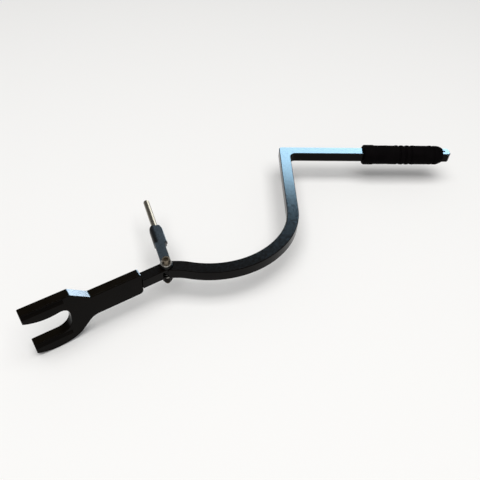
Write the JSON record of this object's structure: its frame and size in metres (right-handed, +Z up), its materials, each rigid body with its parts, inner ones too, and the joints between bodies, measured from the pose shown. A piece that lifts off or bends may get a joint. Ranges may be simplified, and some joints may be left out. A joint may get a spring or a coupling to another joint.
{
  "type": "winch handle",
  "caption": "Folding winch handle: C-shaped crank arm with a foam hand grip, hinged to a forked jaw by one bolt that also carries a swing lever with an adjustable steel rod.",
  "frame": {"origin": "on the pivot bolt's axis, at the centre of the bolt head's top face, where the hex socket opens", "axes": "+Z up along the pivot bolt, out of its hex socket; +X the direction in which the crank arm leaves the pivot, and along the hand grip towards its free end; +Y from the pivot towards the hand grip"},
  "size_m": [0.5819, 0.3478, 0.0768],
  "materials": {
    "black_paint": "satin",
    "grey_paint": "satin",
    "stainless": "brushed",
    "black_zinc": "satin",
    "black_foam": "matt",
    "bronze": "satin",
    "nylon": "matt"
  },
  "bodies": {
    "jaw": {"fork_jaw": "black_paint", "shank": "black_paint", "jaw_dowel_pins": "black_paint", "pivot_bolt": "stainless", "head_washer": "stainless", "nut_washer": "stainless", "lock_nut": "black_zinc", "nut_nylon_insert": "nylon", "thrust_washers": "nylon", "lever_friction_washer": "nylon"},
    "crank": {"crank_arm": "black_paint", "pivot_bush": "bronze", "foam_grip": "black_foam"},
    "lever": {"swing_lever": "grey_paint", "rod_clamp_screw": "black_zinc"},
    "rod": {"steel_rod": "stainless"}
  },
  "joints": [
    {"name": "crank_fold", "type": "hinge", "parent": "jaw", "child": "crank", "pos_m": [0, 0, 0], "axis": [0, 0, 1], "range_deg": [-20, 30]},
    {"name": "lever_swing", "type": "hinge", "parent": "jaw", "child": "lever", "pos_m": [0, 0, 0], "axis": [0, 0, 1], "range_deg": [-15, 50]},
    {"name": "rod_slide", "type": "slide", "parent": "lever", "child": "rod", "axis": [-0.299, 0.9542, 0], "range_m": [-0.005, 0.004]}
  ]
}
